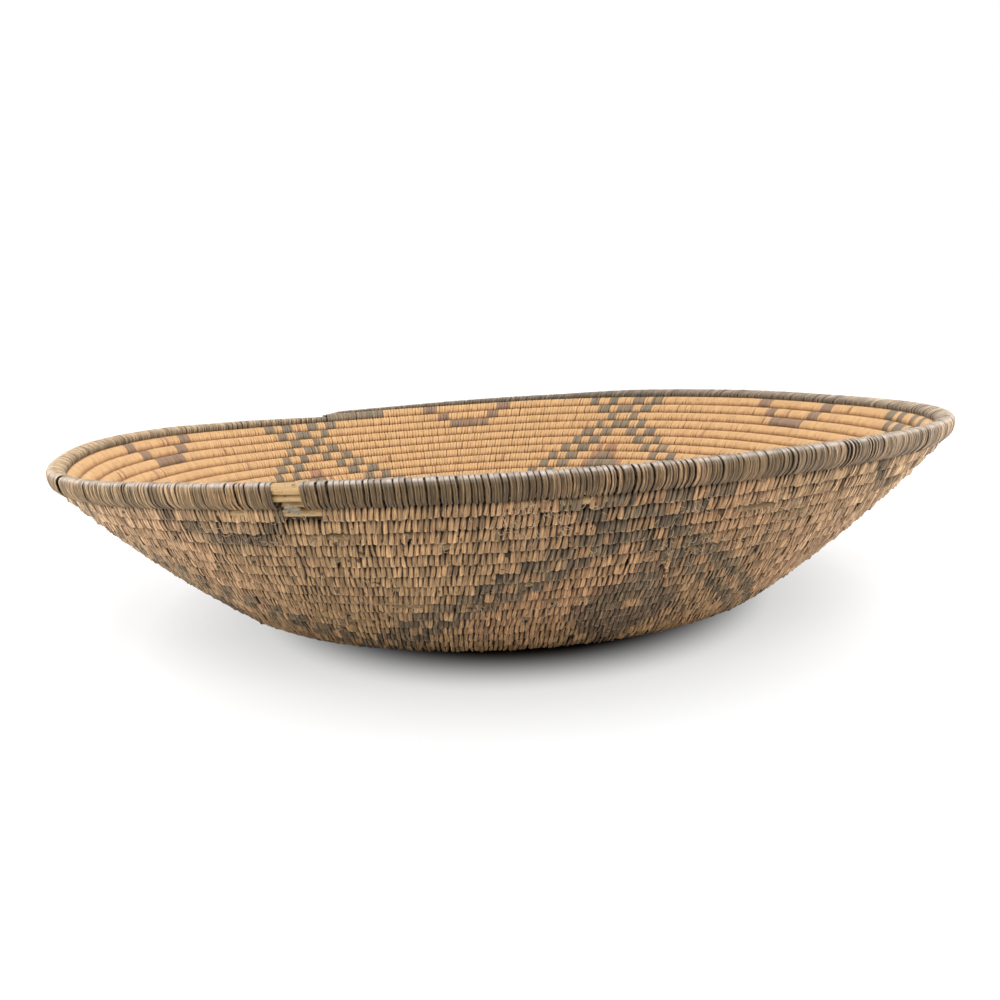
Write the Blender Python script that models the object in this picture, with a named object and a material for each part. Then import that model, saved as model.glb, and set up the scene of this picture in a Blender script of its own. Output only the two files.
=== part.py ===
"""A shallow basketry bowl, coiled on a foundation of three rods.

One coil starts at the knot in the middle of the base and runs outward and up the wall,
counter-clockwise seen from above, until it tapers off on top of the rim. Every turn of it is
a solid of its own, seated on the turn before along a seam that both share. The last turn is
the rim: its three rods lie in a wrap of splints that is worn through at one place.

Metres, +Z up. The origin is on the ground, under the middle of the start knot, and -Y is the
front. A place on the bowl is given by its distance along the wall from the middle of the
base, and by its azimuth, counter-clockwise from +X.
"""
import math

import bmesh
import bpy
from mathutils import Vector

# The wall's middle surface: a flat base, a tight bend at its edge and a long slow curve up
BASE_RADIUS = 0.1275
EDGE_BEND_RADIUS = 0.016
WALL_CURVE_RADIUS = 0.520
RIM_RADIUS = 0.21633
RIM_HEIGHT = 0.07994

# How the dried bowl is out of true: the rise of the rim at every 20 degrees round from +X, in
# tenths of a millimetre, and the shift of the rim off the middle of the base
RIM_RISE_UNIT = 0.0001
RIM_RISE = (2, 4, 21, 28, 24, 10, 4, 11, 25, 12, -25, -26, -7, 6, 12, 18, 14, 6)
RIM_SHIFT = 0.0002

# The coil
COIL_PITCH = 0.0068
WALL_THICKNESS = 0.0070
SEAM_THICKNESS = 0.0044
KNOT_RADIUS = 0.0062
KNOT_DOME_SHARE = 0.55
TIP_WIDTH = 0.0015
WORN_GROOVE_SHARE = 0.2
COIL_END_AZIMUTH = math.radians(124.0)

# The rim turn: three rods, two side by side and one on top, in a wrap of splints
RIM_ROD_RADIUS = 0.0015
SPLINT_THICKNESS = 0.0005
WORN_GAP_AZIMUTH = math.radians(251.4)
WORN_GAP_LENGTH = 0.0105

# The rim's section grows from the coil below it and thins out towards the coil's end. Each
# pair is a place round the turn, in degrees from its start, and the size there
RIM_SIZES = ((0.0, 0.80), (16.0, 1.0), (300.0, 1.0), (314.0, 0.78), (334.0, 0.74),
             (346.0, 0.58), (360.0, 0.42))

# Clearance between solids that touch on the real bowl
GAP = 0.0003

# Facets around one turn. The outer count is a multiple of the inner one, so that seams match
INNER_STEPS = 16
OUTER_STEPS = 32
INNER_STEPS_RADIUS = 0.052
TUBE_RESOLUTION = 2

# Colours and finishes of dry, handled splints and peeled rods
COLLECTION = "basketry_bowl"
SHARP_ANGLE = math.radians(50.0)
COIL_COLOUR = (0.36, 0.20, 0.095)
COIL_ROUGHNESS = 0.62
SHADES = (1.0, 0.93, 0.97, 0.90, 1.04)
KNOT_COLOUR = (0.06, 0.045, 0.038)
WRAP_COLOUR = (0.10, 0.066, 0.048)
WRAP_ROUGHNESS = 0.50
ROD_COLOUR = (0.52, 0.34, 0.16)
ROD_ROUGHNESS = 0.65

FULL_TURN = 2.0 * math.pi
MIDDLE_HEIGHT = WALL_THICKNESS / 2.0
UP = Vector((0.0, 0.0, 1.0))
ALONG_X = Vector((1.0, 0.0, 0.0))


def wall_arcs():
    """Centres of the bend and the wall curve, and the slopes where each of them ends."""
    bend = Vector((BASE_RADIUS, MIDDLE_HEIGHT + EDGE_BEND_RADIUS))
    rim = Vector((RIM_RADIUS, RIM_HEIGHT))
    reach = WALL_CURVE_RADIUS - EDGE_BEND_RADIUS
    span = rim - bend
    apart = span.length
    to_foot = (reach ** 2 - WALL_CURVE_RADIUS ** 2 + apart ** 2) / (2.0 * apart)
    aside = math.sqrt(reach ** 2 - to_foot ** 2)
    direction = span / apart
    wall = bend + direction * to_foot + Vector((-direction.y, direction.x)) * aside
    bend_slope = math.atan2(bend.x - wall.x, wall.y - bend.y)
    rim_slope = math.atan2(rim.x - wall.x, wall.y - rim.y)
    return bend, wall, bend_slope, rim_slope


BEND_CENTRE, WALL_CENTRE, BEND_SLOPE, RIM_SLOPE = wall_arcs()
BEND_LENGTH = EDGE_BEND_RADIUS * BEND_SLOPE
RIM_DISTANCE = BASE_RADIUS + BEND_LENGTH + WALL_CURVE_RADIUS * (RIM_SLOPE - BEND_SLOPE)

# Rod centres in the rim's section, as (up the wall from its foot, towards the inside)
HALF_FACET = math.radians(20.0)
WRAP_INSIDE = (RIM_ROD_RADIUS + GAP) / math.cos(HALF_FACET)
WRAP_OUTSIDE = WRAP_INSIDE + SPLINT_THICKNESS
ROD_SIDE = RIM_ROD_RADIUS + GAP / 2.0
ROD_LOW = WRAP_OUTSIDE * math.cos(HALF_FACET)
ROD_HIGH = ROD_LOW + math.sqrt(3.0) * ROD_SIDE
RIM_COIL_HEIGHT = ROD_HIGH + WRAP_OUTSIDE

# Whole turns of an even pitch, from the knot to half a coil below the middle of the rim
FIRST_SEAM = KNOT_RADIUS + TIP_WIDTH
LAST_SEAM = RIM_DISTANCE - RIM_COIL_HEIGHT / 2.0
TURNS = round((LAST_SEAM - FIRST_SEAM) / COIL_PITCH + 0.5)
PITCH = (LAST_SEAM - FIRST_SEAM) / (TURNS - 0.5)


def wall_point(distance):
    """Radius, height and slope of the wall's middle surface at a distance along it."""
    if distance <= BASE_RADIUS:
        return distance, MIDDLE_HEIGHT, 0.0
    beyond = distance - BASE_RADIUS
    if beyond <= BEND_LENGTH:
        centre, radius = BEND_CENTRE, EDGE_BEND_RADIUS
        slope = beyond / EDGE_BEND_RADIUS
    else:
        centre, radius = WALL_CENTRE, WALL_CURVE_RADIUS
        slope = BEND_SLOPE + (beyond - BEND_LENGTH) / WALL_CURVE_RADIUS
    return centre.x + radius * math.sin(slope), centre.y - radius * math.cos(slope), slope


def rim_rise(azimuth):
    """How far the rim lies above its true height, on a smooth curve through RIM_RISE."""
    place = azimuth / FULL_TURN % 1.0 * len(RIM_RISE)
    first = int(place)
    part = place - first
    before, start, end, after = (RIM_RISE[(first + step) % len(RIM_RISE)]
                                 for step in (-1, 0, 1, 2))
    return RIM_RISE_UNIT * (start + part * (end - before) / 2.0
                        + part ** 2 * (before - 2.5 * start + 2.0 * end - after / 2.0)
                        + part ** 3 * (1.5 * (start - end) + (after - before) / 2.0))


def wall_frame(distance, azimuth):
    """A point of the wall's middle surface, the way up the wall and the way to the inside."""
    radius, height, slope = wall_point(distance)
    outward = Vector((math.cos(azimuth), math.sin(azimuth), 0.0))
    lift = (height - MIDDLE_HEIGHT) / (RIM_HEIGHT - MIDDLE_HEIGHT)
    rise = lift * rim_rise(azimuth)
    origin = outward * radius + UP * (height + rise) + ALONG_X * (lift * RIM_SHIFT)
    along = outward * math.cos(slope) + UP * math.sin(slope)
    inward = UP * math.cos(slope) - outward * math.sin(slope)
    return origin, along, inward


def seam_distance(seam, share):
    """Distance of a seam along the wall, at a share of a turn. Seam 0 is the knot's edge."""
    if seam == 0:
        return KNOT_RADIUS + TIP_WIDTH * share
    return FIRST_SEAM + PITCH * (seam - 1 + share)


def middle_distance(turn, share):
    return (seam_distance(turn - 1, share) + seam_distance(turn, share)) / 2.0


def steps_of_turn(turn):
    return INNER_STEPS if seam_distance(turn, 1.0) <= INNER_STEPS_RADIUS else OUTER_STEPS


def steps_of_seam(seam):
    """A seam has the coarser facets of the two turns that it joins."""
    return min(steps_of_turn(max(seam, 1)), steps_of_turn(min(seam + 1, TURNS)))


def faceted_frame(distance_at, steps, share):
    """The wall's frame at a share of a turn, on the straight facets between the steps."""
    step = min(int(share * steps), steps - 1)
    ends = []
    for corner in (step, step + 1):
        azimuth = COIL_END_AZIMUTH + FULL_TURN * corner / steps
        ends.append(wall_frame(distance_at(corner / steps), azimuth))
    part = share * steps - step
    return [start.lerp(end, part) for start, end in zip(*ends)]


def seam_frame(seam, share):
    return faceted_frame(lambda at: seam_distance(seam, at), steps_of_seam(seam), share)


def middle_frame(turn, share):
    return faceted_frame(lambda at: middle_distance(turn, at), steps_of_turn(turn), share)


def spot(frame, up_wall, to_inside):
    origin, along, inward = frame
    return origin + along * up_wall + inward * to_inside


def end_share(distance):
    """The share of a turn that half a clearance takes at the end of a piece."""
    return GAP / 2.0 / (FULL_TURN * wall_point(distance)[0])


def shares_between(start, end, steps, breaks=()):
    """Shares of a turn from start to end, at every step and at the breaks in between."""
    inside = [step / steps for step in range(steps + 1)] + list(breaks)
    margin = end_share(RIM_DISTANCE)
    kept = [share for share in sorted(inside) if start + margin < share < end - margin]
    return [start] + kept + [end]


def add_object(name, data, colour, roughness):
    """Puts data in the bowl's collection as an object with its own material."""
    thing = bpy.data.objects.new(name, data)
    bpy.data.collections[COLLECTION].objects.link(thing)
    material = bpy.data.materials.new(name + "_material")
    material.use_nodes = True
    shader = material.node_tree.nodes["Principled BSDF"]
    shader.inputs["Base Color"].default_value = (*colour, 1.0)
    shader.inputs["Roughness"].default_value = roughness
    shader.inputs["Metallic"].default_value = 0.0
    data.materials.append(material)
    return thing


def finish_mesh(name, shape, colour, roughness):
    bmesh.ops.recalc_face_normals(shape, faces=shape.faces)
    mesh = bpy.data.meshes.new(name)
    shape.to_mesh(mesh)
    shape.free()
    mesh.shade_smooth()
    mesh.set_sharp_from_angle(angle=SHARP_ANGLE)
    return add_object(name, mesh, colour, roughness)


def add_rings(shape, rings):
    """Adds closed rings of points and the faces between each ring and the next."""
    corners = [[shape.verts.new(point) for point in ring] for ring in rings]
    for ring, following in zip(corners, corners[1:]):
        for index in range(len(ring)):
            after = (index + 1) % len(ring)
            shape.faces.new((ring[index], ring[after], following[after], following[index]))
    return corners


def coil_section(turn, share):
    """Outline of the coil. On the base its underside is worn flat, up the wall it is round."""
    inner, outer = seam_frame(turn - 1, share), seam_frame(turn, share)
    middle = middle_frame(turn, share)
    half_gap, half_seam, half_wall = GAP / 2.0, SEAM_THICKNESS / 2.0, WALL_THICKNESS / 2.0
    inside = [spot(inner, half_gap, half_seam), spot(middle, 0.0, half_wall),
              spot(outer, -half_gap, half_seam)]
    if seam_distance(turn - 1, 0.0) < BASE_RADIUS:
        width = seam_distance(turn, share) - seam_distance(turn - 1, share)
        groove = WORN_GROOVE_SHARE * width
        return inside + [spot(outer, -groove, -half_wall), spot(inner, groove, -half_wall)]
    return inside + [spot(outer, -half_gap, -half_seam), spot(middle, 0.0, -half_wall),
                     spot(inner, half_gap, -half_seam)]


def make_turn(turn):
    """One turn of the coil, from the coil's end azimuth all the way round to it again."""
    margin = end_share(middle_distance(turn, 0.0))
    shape = bmesh.new()
    shares = shares_between(margin, 1.0 - margin, steps_of_turn(turn))
    corners = add_rings(shape, [coil_section(turn, share) for share in shares])
    shape.faces.new(corners[0])
    shape.faces.new(corners[-1])
    shade = SHADES[turn % len(SHADES)]
    colour = [channel * shade for channel in COIL_COLOUR]
    finish_mesh(f"coil_turn_{turn:02d}", shape, colour, COIL_ROUGHNESS)


def make_start_knot():
    """The small hard button that the coil starts round, flat below and domed above."""
    half_seam, half_wall = SEAM_THICKNESS / 2.0, WALL_THICKNESS / 2.0
    groove = WORN_GROOVE_SHARE * KNOT_RADIUS
    margin = end_share(KNOT_RADIUS)
    shares = shares_between(margin, 1.0 - margin, INNER_STEPS)
    edge = [seam_frame(0, share) for share in shares]
    centre = UP * (MIDDLE_HEIGHT + half_wall)
    top = [centre + (frame[0] - UP * MIDDLE_HEIGHT) * KNOT_DOME_SHARE for frame in edge]
    shape = bmesh.new()
    corners = add_rings(shape, [
        [spot(frame, -groove, -half_wall) for frame in edge],
        [spot(frame, -GAP / 2.0, half_seam) for frame in edge],
        top,
    ])
    shape.faces.new(corners[0])
    shape.faces.new(corners[-1])
    finish_mesh("start_knot", shape, KNOT_COLOUR, COIL_ROUGHNESS)


def rim_scale(share):
    """Size of the rim's section at a share of its turn, in proportion between RIM_SIZES."""
    for (start, size), (end, following) in zip(RIM_SIZES, RIM_SIZES[1:]):
        if share * 360.0 <= end:
            part = (share * 360.0 - start) / (end - start)
            return size + (following - size) * part
    return RIM_SIZES[-1][1]


def rim_spot(share, up_wall, to_inside):
    scale = rim_scale(share)
    return spot(seam_frame(TURNS, share), GAP / 2.0 + scale * up_wall, scale * to_inside)


def wrap_outline(share, radius):
    """Outline round the three rods: three points about each of them."""
    rods = ((ROD_HIGH, 0.0, 90.0), (ROD_LOW, -ROD_SIDE, 210.0), (ROD_LOW, ROD_SIDE, 330.0))
    outline = []
    for up_wall, to_inside, facing in rods:
        for facet in (-1, 0, 1):
            angle = math.radians(facing) + 2.0 * HALF_FACET * facet
            outline.append(rim_spot(share, up_wall + radius * math.sin(angle),
                                    to_inside + radius * math.cos(angle)))
    return outline


def rim_shares(start, end):
    breaks = [degrees / 360.0 for degrees, size in RIM_SIZES]
    return shares_between(start, end, OUTER_STEPS, breaks)


def make_rim_wrap(name, start, end):
    """A hollow wrap of splints round the rods, open at both ends."""
    shape = bmesh.new()
    shares = rim_shares(start, end)
    outer = add_rings(shape, [wrap_outline(share, WRAP_OUTSIDE) for share in shares])
    inner = add_rings(shape, [wrap_outline(share, WRAP_INSIDE) for share in shares])
    for outline, hole in ((outer[0], inner[0]), (outer[-1], inner[-1])):
        for index in range(len(outline)):
            after = (index + 1) % len(outline)
            shape.faces.new((outline[index], outline[after], hole[after], hole[index]))
    finish_mesh(name, shape, WRAP_COLOUR, WRAP_ROUGHNESS)


def make_rim_rod(name, up_wall, to_inside):
    """One rod of the rim's foundation, from the end of the last turn to the coil's tip."""
    margin = end_share(RIM_DISTANCE)
    shares = rim_shares(margin, 1.0 - margin)
    curve = bpy.data.curves.new(name, "CURVE")
    curve.dimensions = "3D"
    curve.bevel_depth = RIM_ROD_RADIUS
    curve.bevel_resolution = TUBE_RESOLUTION
    curve.use_fill_caps = True
    spline = curve.splines.new("POLY")
    spline.points.add(len(shares) - 1)
    for point, share in zip(spline.points, shares):
        point.co = (*rim_spot(share, up_wall, to_inside), 1.0)
        point.radius = rim_scale(share)
    add_object(name, curve, ROD_COLOUR, ROD_ROUGHNESS)


def make_rim():
    """The rim turn: its three rods, and the wrap on either side of the worn gap."""
    make_rim_rod("rim_rod_top", ROD_HIGH, 0.0)
    make_rim_rod("rim_rod_outer", ROD_LOW, -ROD_SIDE)
    make_rim_rod("rim_rod_inner", ROD_LOW, ROD_SIDE)
    margin = end_share(RIM_DISTANCE)
    gap_middle = (WORN_GAP_AZIMUTH - COIL_END_AZIMUTH) / FULL_TURN
    half_gap = WORN_GAP_LENGTH / 2.0 / (FULL_TURN * RIM_RADIUS)
    make_rim_wrap("rim_wrap_left", margin, gap_middle - half_gap)
    make_rim_wrap("rim_wrap_right", gap_middle + half_gap, 1.0 - margin)


def main():
    for thing in list(bpy.data.objects):
        bpy.data.objects.remove(thing)
    bpy.context.scene.collection.children.link(bpy.data.collections.new(COLLECTION))
    make_start_knot()
    for turn in range(1, TURNS + 1):
        make_turn(turn)
    make_rim()


main()
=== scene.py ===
"""Looks of the coiled basketry bowl: every sewn splint, the rods under them, and the worn rim.

Metres, +Z up, -Y is the front. A place on the bowl is given as in the part's source, by its
distance along the wall's middle surface and its azimuth, plus a depth towards the inside.
Each sewn splint is a closed band round its coil. All splints of one turn are one mesh.
"""
import math

import bpy
import numpy as np
from mathutils import Matrix, Vector


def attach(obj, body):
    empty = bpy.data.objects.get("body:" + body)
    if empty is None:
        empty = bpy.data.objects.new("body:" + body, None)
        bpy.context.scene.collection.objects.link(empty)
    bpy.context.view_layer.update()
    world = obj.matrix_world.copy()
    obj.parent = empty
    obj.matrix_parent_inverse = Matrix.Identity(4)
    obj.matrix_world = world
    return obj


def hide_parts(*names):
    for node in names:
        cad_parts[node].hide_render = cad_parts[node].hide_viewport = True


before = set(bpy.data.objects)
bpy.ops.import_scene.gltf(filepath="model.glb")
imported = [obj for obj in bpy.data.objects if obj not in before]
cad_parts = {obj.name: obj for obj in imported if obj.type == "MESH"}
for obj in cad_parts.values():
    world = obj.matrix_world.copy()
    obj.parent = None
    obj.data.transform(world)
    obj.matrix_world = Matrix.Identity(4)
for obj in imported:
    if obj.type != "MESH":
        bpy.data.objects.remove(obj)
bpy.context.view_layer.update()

BODY = "root"
MM = 0.001
FULL_TURN = 2.0 * math.pi
TINY = 1e-9

# The bowl's shape, as in the part's source
BASE_RADIUS = 0.1275
EDGE_BEND_RADIUS = 0.016
WALL_CURVE_RADIUS = 0.520
RIM_RADIUS = 0.21633
RIM_HEIGHT = 0.07994
RIM_RISE = np.array((0.0002, 0.0004, 0.0021, 0.0028, 0.0024, 0.0010, 0.0004, 0.0011, 0.0025,
                     0.0012, -0.0025, -0.0026, -0.0007, 0.0006, 0.0012, 0.0018, 0.0014, 0.0006))
RIM_SHIFT = 0.0002
COIL_PITCH = 0.0068
WALL_THICKNESS = 0.0070
KNOT_RADIUS = 0.0062
TIP_WIDTH = 0.0015
COIL_END_AZIMUTH = math.radians(124.0)
RIM_ROD_RADIUS = 0.0015
SPLINT_THICKNESS = 0.0005
RIM_SIZES = np.array(((0.0, 0.80), (16.0, 1.0), (300.0, 1.0), (314.0, 0.78), (334.0, 0.74),
                      (346.0, 0.58), (356.5, 0.47), (360.0, 0.12)))
WORN_GAP_AZIMUTH = math.radians(251.4)
WORN_GAP_LENGTH = 0.0105
GAP = 0.0003
MIDDLE_HEIGHT = WALL_THICKNESS / 2.0


def wall_arcs():
    """Centres of the bend and the wall curve, and the slopes where each of them ends."""
    bend = np.array([BASE_RADIUS, MIDDLE_HEIGHT + EDGE_BEND_RADIUS])
    rim = np.array([RIM_RADIUS, RIM_HEIGHT])
    reach = WALL_CURVE_RADIUS - EDGE_BEND_RADIUS
    apart = np.hypot(*(rim - bend))
    to_foot = (reach ** 2 - WALL_CURVE_RADIUS ** 2 + apart ** 2) / (2.0 * apart)
    along = (rim - bend) / apart
    aside = np.array([-along[1], along[0]])
    wall = bend + along * to_foot + aside * math.sqrt(reach ** 2 - to_foot ** 2)
    bend_slope = math.atan2(bend[0] - wall[0], wall[1] - bend[1])
    rim_slope = math.atan2(rim[0] - wall[0], wall[1] - rim[1])
    return bend, wall, bend_slope, rim_slope


BEND_CENTRE, WALL_CENTRE, BEND_SLOPE, RIM_SLOPE = wall_arcs()
BEND_LENGTH = EDGE_BEND_RADIUS * BEND_SLOPE
RIM_DISTANCE = BASE_RADIUS + BEND_LENGTH + WALL_CURVE_RADIUS * (RIM_SLOPE - BEND_SLOPE)

HALF_FACET = math.radians(20.0)
WRAP_OUTSIDE = (RIM_ROD_RADIUS + GAP) / math.cos(HALF_FACET) + SPLINT_THICKNESS
ROD_SIDE = RIM_ROD_RADIUS + GAP / 2.0
ROD_LOW = WRAP_OUTSIDE * math.cos(HALF_FACET)
ROD_HIGH = ROD_LOW + math.sqrt(3.0) * ROD_SIDE
RIM_COIL_HEIGHT = ROD_HIGH + WRAP_OUTSIDE
FIRST_SEAM = KNOT_RADIUS + TIP_WIDTH
LAST_SEAM = RIM_DISTANCE - RIM_COIL_HEIGHT / 2.0
TURNS = round((LAST_SEAM - FIRST_SEAM) / COIL_PITCH + 0.5)
PITCH = (LAST_SEAM - FIRST_SEAM) / (TURNS - 0.5)

# Sewing: the width of a splint along the coil, and how far the maker's hand strays
STITCH_PITCH = 2.0 * MM
SPLINT = 0.42 * MM
STRAY_ALONG = 0.10 * MM
STRAY_DEPTH = 0.08 * MM
STRAY_DEPTH_INSIDE = STRAY_DEPTH * 0.3
STRAY_END = 0.15 * MM
STRAY_TILT = 0.21 * MM
STRAY_CURL = 0.24 * MM
STRAY_LEAN = math.radians(3.6)
STRAY_WIDTH = 0.10
STRAY_TAPER = 0.06
TILT_INSIDE = 0.25
WIDTH_INSIDE = 0.2
LEAN_STRAY_INSIDE = 0.3
LEAN_OUTSIDE = math.radians(4.0)
LEAN_FRONT = (math.radians(6.0), 264.0, 14.0)
LEAN_INSIDE = math.radians(-8.0)
LOWEST = 0.02 * MM
LOWEST_ON_BASE = -WALL_THICKNESS / 2.0 + 0.03 * MM

# A splint's way round its coil, in millimetres: up the wall, towards the inside, half width.
# Outside it starts under the row above, broadens, and ends in a lip over the row below.
ABOVE = (3.2, 0.2, 0.80)
OUTSIDE = ((3.0, -0.95, 0.42), (2.3, -1.55, 0.49), (1.0, -2.35, 0.70), (-0.7, -3.08, 0.90),
           (-2.4, -3.58, 0.98), (-3.7, -3.72, 1.00), (-4.15, -3.25, 0.93))
BELOW = (-3.7, -1.0, 0.82)
INSIDE = ((-3.3, 2.0, 0.74), (-2.65, 2.7, 0.93), (-1.5, 3.22, 0.97), (0.5, 3.52, 1.0),
          (2.4, 3.18, 1.0), (3.55, 2.35, 1.0))
STITCH_WAY = np.array((ABOVE,) + OUTSIDE + (BELOW,) + INSIDE) * MM
STATIONS = len(STITCH_WAY)
# Its stations that lie outside and inside
OUTER = slice(1, 1 + len(OUTSIDE))
INNER = slice(OUTER.stop + 1, None)
LIP = OUTER.stop - 2
LIP_CURLS = np.array([0.3, 1.0, 1.2])
STEPS = np.hypot(*np.diff(STITCH_WAY[:, :2], axis=0).T) / MM
TIP_AT = float(STEPS[:len(OUTSIDE)].sum())
GROOVES_AT = (float(STEPS[:len(OUTSIDE) + 2].sum()), float(STEPS.sum()))
BURIED = np.array([[2.6, -0.2], [1.8, -0.3], [0.6, -0.6], [-0.9, -1.2], [-1.7, -1.4],
                   [-2.4, -1.4], [-3.0, -1.2]]) * MM
STUB_STATIONS = 4

# The same round the rim's three rods, up from the seam below it
RIM_WAY = np.array((
    (7.55, 0.0, 0.95), (7.28, -1.10, 0.97), (6.45, -2.10, 0.97), (5.00, -3.05, 0.98),
    (3.40, -3.80, 0.98), (2.10, -4.08, 0.98), (0.80, -3.99, 0.97), (-0.50, -3.79, 0.95),
    (-1.30, -3.50, 0.86), (-1.70, -1.60, 0.80), (-0.30, 1.60, 0.80), (0.10, 2.80, 0.95),
    (0.95, 3.70, 0.98), (2.10, 4.07, 0.98), (3.40, 3.80, 0.98), (5.00, 3.05, 0.98),
    (6.45, 2.10, 0.97), (7.28, 1.10, 0.97))) * MM
RIM_OUTER = slice(0, 9)
RIM_LIP = slice(6, 9)
# Painted highlight along the crest of each wrap, station by station
RIM_CREST_GLINT = np.array((1.0, 0.16) + (0.0,) * 15 + (0.50,))
RIM_SHADE = np.array((0.0,) * 7 + (0.1, 0.6, 1.0, 1.0, 1.0, 0.85, 0.55, 0.25, 0.05, 0.0, 0.0))
RIM_STRAY_ALONG = 0.16 * MM
RIM_STRAY_LEAN = STRAY_LEAN * 0.5
RIM_LEAN_OUTSIDE = math.radians(4.0)
RIM_LEAN_INSIDE = math.radians(-24.0)
RIM_LEANS_ABOUT = 4.0 * MM
RIM_WIDTH = 0.95
RIM_STRAY_WIDTH = 0.07
RIM_LOST_WRAP = math.radians(214.8)
RIM_LOST_STITCHES = 1.2

# The start knot's splints, round the button from its edge to its middle and back
KNOT_WAY = np.array(((6.15, 0.0), (5.9, -2.0), (5.0, -3.42), (3.0, -3.45), (1.2, -3.42),
                     (0.7, 0.0), (1.2, 3.75), (3.0, 3.68), (4.9, 3.15), (5.9, 1.9))) * MM
KNOT_SPLINTS = 18
KNOT_SPLINT_WIDTH = 0.97
KNOT_LEAN = 0.35
KNOT_LEAN_DEPTH = 6.0 * MM
KNOT_STRAYS = (0.03, 0.01, 0.05 * MM)

# A splint's section: across, as a share of its half width, and proud, in splint thicknesses
SECTION = np.array(((-1.0, -1.0), (-0.76, -0.12), (0.0, 0.48), (0.76, -0.12), (1.0, -1.0)))
RIM_SECTION = np.array(((-1.0, -1.0), (-0.80, -0.16), (0.0, 0.36), (0.80, -0.16), (1.0, -1.0)))

# The three rods in a coil, in millimetres up the wall and to the inside, and their radius
COIL_RODS = np.array(((-1.62, -1.55), (-1.0, 1.55), (1.35, 0.0))) * MM
COIL_ROD_RADIUS = 1.45 * MM
ROD_SIDES = 8
ROD_STEP = 5.0 * MM
FEWEST_ROD_STEPS = 16
ROD_WAVER = (0.03, 4)
RIM_ROD_WAVER = (0.02, 5)
RIM_ROD_ENDS = (0.0004, 0.9996)
# The rim's rods: place up the wall and to the inside, and how much they swell where bare
RIM_RODS = (("rim_rod_top", ROD_HIGH, 0.0, 0.42), ("rim_rod_outer", ROD_LOW, -ROD_SIDE, -0.20),
            ("rim_rod_inner", ROD_LOW, ROD_SIDE, 0.0))
RIM_ROD_BARE = 2.2
RIM_ROD_FADES = 4.0 * MM
BARE_BESIDE = 2.0
BARE_BELOW_RIM = 0.45

# Meshes: the angle of a sharp edge, the margin of a cell of the map, and the map of an end
SHARP_ANGLE = math.radians(52.0)
MAP_MARGIN = 0.04
MAP_INSIDE = 0.92
END_MAP = [(0.0, 0.0), (0.01, 0.0), (0.01, 0.01), (0.0, 0.01)]
BAND_SLIMNESS = 6.0
TUBE_SLIMNESS = 2.0
BAND_SEEDS_APART = 97.0
TUBE_SEEDS_APART = 31.0
GOLDEN_SHARE = 0.61803

# The woven pattern, in degrees. A lattice has its middle, the width of its columns, the width
# of its dark squares in columns, and the middle of the diamond between its feet
LATTICES = ((130.5, 1.98, 1.05, 132.6), (63.7, 1.90, 1.05, 65.7), (354.5, 2.10, 1.10, 357.6),
            (283.3, 2.13, 1.32, 287.1), (211.3, 2.13, 1.20, 214.6))
LATTICE_STRAY = 0.12
BRACKETS = (164.0, 95.8, 27.0, 320.0, 243.0)
SQUARE_GROWTH = np.array(((3, 1.0), (6, 1.09), (10, 1.17), (15, 1.26)))
COLUMN_SHIFT = 0.2
LATTICE_ROWS = 17
CROSSING_ROWS = (2, 4)
DIAMOND_TOP = 7.0
DIAMOND_FOOT = 16.4
DIAMOND_SLOPE = 1.6
DIAMOND_EYE = (11, 1.5)
DIAMOND_FRINGE = 1.6
DIAMOND_FRINGE_FROM = 0.6
DIAMOND_BROWN_ROW = 12
FRINGE_STITCHES = 0.75
BRACKET_BANDS = ((6.1, 8.6), (3.7, 6.3), (0.0, 4.0))
DARK_END = 11.2

# How red and how dark the parts of the pattern are, and the dye that strays or has faded
DIAMOND_RED = 0.6
FRINGE_RED = 0.8
BRACKET_DARK = 0.95
BRACKET_RED = 0.40
THIN_REDS = 0.012
THIN_RED = 0.7
FADED_STITCHES = 0.03
FADED_DARK = 0.55
DARK_VARIES = 0.20

# Worn places outside: turn, what is left of the splints, how many, and azimuths in degrees
WORN_GROUPS = (
    (35, "bare", 7, 252.0), (35, "stub", 3, 245.0), (35, "bare", 1, 277.7), (35, "stub", 1, 272.1),
    (34, "bare", 1, 236.5, 228.0, 221.3), (33, "bare", 1, 233.1, 225.8), (33, "stub", 4, 254.4),
    (33, "stub", 2, 251.6), (33, "bare", 1, 261.0), (33, "stub", 7, 296.5),
    (32, "bare", 1, 264.4, 303.8, 305.3, 311.7), (31, "bare", 1, 230.8, 241.7, 252.6),
    (31, "stub", 2, 292.0), (31, "bare", 1, 317.1), (30, "bare", 1, 234.7, 291.2, 316.7),
    (29, "bare", 1, 288.3), (28, "bare", 1, 238.5, 257.6, 272.9), (27, "bare", 1, 309.2),
    (26, "stub", 6, 257.6), (26, "stub", 1, 266.7, 276.0), (26, "stub", 2, 279.9),
    (25, "bare", 1, 248.0, 254.5), (24, "stub", 2, 244.0), (24, "bare", 1, 247.6, 272.4),
    (23, "bare", 1, 244.3))
WORN_PLACES = [(turn, azimuth, lost, left) for turn, left, lost, *azimuths in WORN_GROUPS
               for azimuth in azimuths]
RANDOM_STUBS = 0.003
RANDOM_BARE = RANDOM_STUBS * 0.5

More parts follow.
